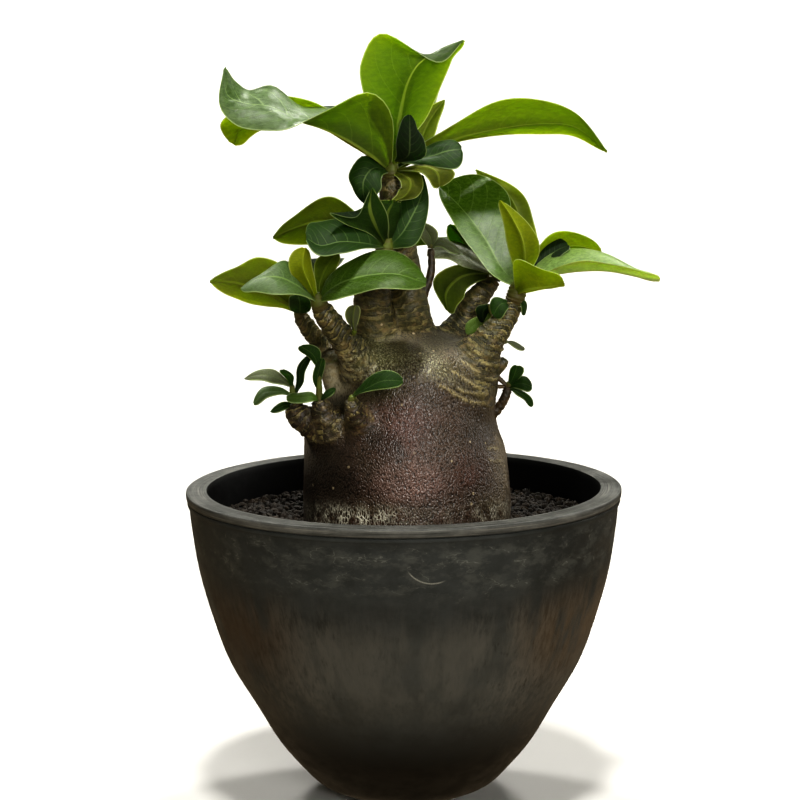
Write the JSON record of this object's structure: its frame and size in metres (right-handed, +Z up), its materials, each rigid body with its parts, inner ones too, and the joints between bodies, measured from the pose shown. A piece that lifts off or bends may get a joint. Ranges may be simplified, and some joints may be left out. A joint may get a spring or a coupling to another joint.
{
  "type": "potted desert rose",
  "caption": "Potted desert rose plant: a swollen trunk with short branches and whorls of broad waxy leaves, in a dark deep bowl-shaped pot with a flat rim.",
  "frame": {"origin": "middle of the pot's flat base, on the surface it stands on", "axes": "+Z up along the pot's axis, -Y towards the front seen in the picture, +X to the right in the picture"},
  "size_m": [0.2596, 0.2404, 0.4167],
  "materials": {
    "pot": "weathered satin",
    "soil": "rough gravel",
    "bark": "satin, finely wrinkled skin",
    "leaf": "waxy"
  },
  "bodies": {
    "root": {"pot": "pot", "soil": "soil", "trunk": "bark", "leaves_crown": "leaf", "leaves_middle": "leaf", "leaves_front_left": "leaf", "leaves_back_left": "leaf", "leaves_right": "leaf", "leaves_back_right": "leaf", "leaves_twig": "leaf", "leaf_front": "leaf", "leaves_branch_right": "leaf", "leaf_behind_right": "leaf", "leaf_branch_left": "leaf", "leaves_stump_outer": "leaf", "leaves_stump_inner": "leaf", "leaves_stump_right": "leaf"}
  },
  "joints": []
}
